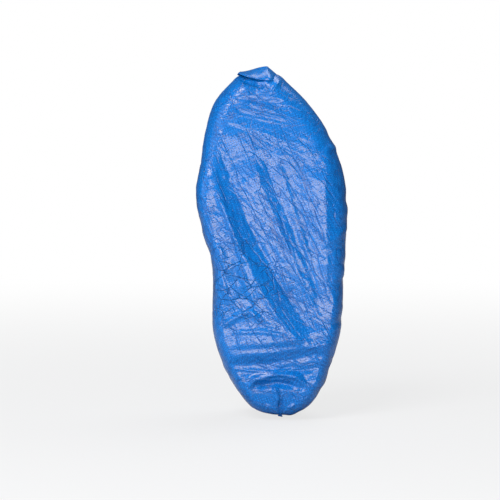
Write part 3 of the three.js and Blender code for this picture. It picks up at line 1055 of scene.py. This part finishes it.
def film_material():
    material, tree, shader = new_material("embossed_blue_film")
    where = node(tree, "ShaderNodeTexCoord")[3]
    patches = noise(tree, where, 22, detail=3)
    blotches = noise(tree, where, 90, detail=2)
    height_up = node(tree, "ShaderNodeSeparateXYZ", None, {0: where})[2]
    near_toe = height_up.within(0.03, 0.08)
    ends = 1 - height_up.within(-0.105, -0.085) + height_up.within(0.085, 0.12)

    def crease_lines(scale, width, middle_angle, end_angle):
        """Hairline creases that run with the folds, turned level at the toe and heel."""
        inner = ridge_lines(tree, slanted(tree, where, middle_angle, 0.2), scale, width)
        outer = ridge_lines(tree, slanted(tree, where, end_angle, 0.2), scale, width)
        return inner + (outer - inner) * ends

    long_lines = crease_lines(64, 0.022, -62, -6) * patches.within(0.34, 0.50)
    cross_lines = crease_lines(100, 0.024, -38, -26) * (1 - patches.within(0.44, 0.60))
    stray_lines = ridge_lines(tree, where, 85, 0.022) * blotches.within(0.46, 0.58)
    from_waist = node(tree, "ShaderNodeVectorMath", {"operation": "DISTANCE"}, {0: where, 1: CRUSHED_PLACE})[1]
    crushed = 1 - from_waist.within(0.020, 0.052)
    at_heel = 1 - height_up.within(-0.125, -0.085)
    small = crushed * 0.16 + at_heel * 0.05 + 0.02
    long_facets = facets(tree, slanted(tree, where, -62, 0.22), 80)
    rising, falling = slanted(tree, where, 34, 0.42), slanted(tree, where, -24, 0.38)
    small_facets = facets(tree, rising, 120) + facets(tree, falling, 95)
    rising_edges = facet_edges(tree, rising, 120, 0.035) * blotches.within(0.42, 0.52)
    falling_edges = facet_edges(tree, falling, 95, 0.03) * (1 - blotches.within(0.48, 0.58))
    crushed_lines = (rising_edges + falling_edges) * crushed
    # Crease lines: sunk and rougher in the relief, and painted darker in the colour below, as painted shade.
    line = long_lines * 0.7 + cross_lines * 0.6 + stray_lines * 0.6 + crushed_lines * 1.3

    grain = cells(tree, where, 620)
    dots = emboss(tree, where, 2.3 * MM)
    # The colour's share of bright blue: emboss dots, grain and patches are the film's own tone, and the crease lines
    # take some off as painted shade.
    tone_and_painted_crease_shade = dots * 0.8 + grain * 0.6 + patches * 0.4 - 0.42 - line * 0.4
    tone = node(tree, "ShaderNodeMix", {"data_type": "RGBA"}, {0: tone_and_painted_crease_shade, 6: BLUE_DEEP, 7: BLUE_BRIGHT})[2]
    feed(tree, shader, Base_Color=tone)
    feed(tree, shader, Roughness=0.16 + patches * 0.06 + line * 0.12 + near_toe * 0.05)

    folds = long_facets * 0.07 * (1 - ends) + small_facets * small + blotches * 0.1 - line * 0.36
    bump = node(tree, "ShaderNodeBump", None, {"Height": folds, "Distance": 1 * MM, "Strength": 1.0})[0]
    fine = {"Height": dots * 0.5 + grain, "Distance": 0.07 * MM, "Strength": 1.0, "Normal": bump}
    feed(tree, shader, Normal=node(tree, "ShaderNodeBump", None, fine)[0])
    shader.inputs["Specular Tint"].default_value = SHEEN_TINT
    return material


BLUE_DEEP = (0.001, 0.085, 0.34, 1)
BLUE_BRIGHT = (0.003, 0.205, 0.67, 1)
SHEEN_TINT = (1.0, 0.76, 0.36, 1)
film_blue = film_material()

# %% [markdown]
# ## Covered elastic
# The elastic is white rubber wound with yarn, so a fine slanted rib shows in its surface.

# %% Elastic material
def elastic_material():
    material, tree, shader = new_material("covered_elastic")
    where = node(tree, "ShaderNodeTexCoord")[3]
    fibre = noise(tree, where, 1400, detail=2)
    tone = node(tree, "ShaderNodeMix", {"data_type": "RGBA"}, {0: fibre.within(0.3, 0.7), 6: (0.55, 0.58, 0.62, 1), 7: (0.78, 0.80, 0.83, 1)})[2]
    feed(tree, shader, Base_Color=tone, Roughness=0.7 + fibre * 0.2)
    feed(tree, shader, Normal=node(tree, "ShaderNodeBump", None, {"Height": fibre, "Distance": 0.1 * MM})[0])
    return material


covered_elastic = elastic_material()


def paint(piece, material):
    piece.data.materials.clear()
    piece.data.materials.append(material)


FILM_PIECES = (film_piece, hem_piece, ear_piece, heel_fin, toe_fin)
for piece in FILM_PIECES:
    paint(piece, film_blue)
paint(thread_piece, covered_elastic)

# %% [markdown]
# ## Studio
# A pale floor fades into a white surround, so no horizon shows. One softbox near the lens
# gives the flat sole its silky reflection, and a large one overhead models the folds.

# %% Floor, surround and lights
def make_floor():
    start_fresh()
    bpy.ops.mesh.primitive_circle_add(vertices=96, radius=6, fill_type="NGON", location=(0, 0, cad_low.z))
    floor = bpy.context.object
    floor.name = "pale_floor"
    material, tree, shader = new_material("pale_floor")
    shader.inputs["Base Color"].default_value = (0.50, 0.51, 0.53, 1)
    shader.inputs["Roughness"].default_value = 0.6
    shader.inputs["Specular IOR Level"].default_value = 0.1
    where = node(tree, "ShaderNodeTexCoord")[3]
    distance = node(tree, "ShaderNodeVectorMath", {"operation": "LENGTH"}, {0: where})[1]
    glow = node(tree, "ShaderNodeEmission", None, {"Color": (1, 1, 1, 1), "Strength": 1.0})[0]
    seen = node(tree, "ShaderNodeLightPath")[0]
    both = node(tree, "ShaderNodeMixShader", None, {0: (distance.within(0.1, 1.6) * 0.25 + 0.75) * seen, 1: Value(shader.outputs[0]), 2: glow})[0]
    tree.links.new(both.socket, tree.nodes["Material Output"].inputs["Surface"])
    paint(floor, material)


def light_surround(lit, seen):
    world = bpy.context.scene.world or bpy.data.worlds.new("surround")
    bpy.context.scene.world = world
    world.use_nodes = True
    tree = world.node_tree
    tree.nodes.clear()
    lighting = node(tree, "ShaderNodeBackground", None, {"Color": (0.95, 0.97, 1, 1), "Strength": lit})[0]
    backdrop = node(tree, "ShaderNodeBackground", None, {"Color": (1, 1, 1, 1), "Strength": seen})[0]
    at_camera = node(tree, "ShaderNodeLightPath")[0]
    both = node(tree, "ShaderNodeMixShader", None, {0: at_camera, 1: lighting, 2: backdrop})[0]
    output = tree.nodes.new("ShaderNodeOutputWorld")
    tree.links.new(both.socket, output.inputs[0])


def softbox(name, place, size, power):
    bpy.ops.object.light_add(type="AREA", location=place)
    light = bpy.context.object
    light.name = name
    light.data.shape = "RECTANGLE"
    light.data.size, light.data.size_y = size
    light.data.energy = power
    light.visible_camera = False
    light.rotation_euler = (LOOK_AT - Vector(place)).to_track_quat("-Z", "Y").to_euler()


make_floor()
light_surround(lit=0.10, seen=1.0)
bpy.context.scene.view_settings.view_transform = "Standard"
softbox("front_box", (-0.03, -1.0, -0.07), (0.80, 0.36), 7.6)
softbox("key_box", (-0.6, -1.1, 1.2), (0.7, 0.7), 24)
softbox("side_box", (-1.3, -0.7, 0.25), (1.2, 1.4), 7)
softbox("top_box", (0.4, 0.5, 1.5), (1.0, 1.0), 14)

# %% Join the frame
STANDS_FOR = (
    (film_piece, "film_body", "film"),
    (hem_piece, "gathered_hem", "film"),
    (ear_piece, "toe_ear", "film"),
    (heel_fin, "heel_seam", "film"),
    (toe_fin, "toe_seam", "film"),
    (thread_piece, "elastic_band", "elastic"),
)
for piece, node_name, slot in STANDS_FOR:
    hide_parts(node_name)
    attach(piece, "root")
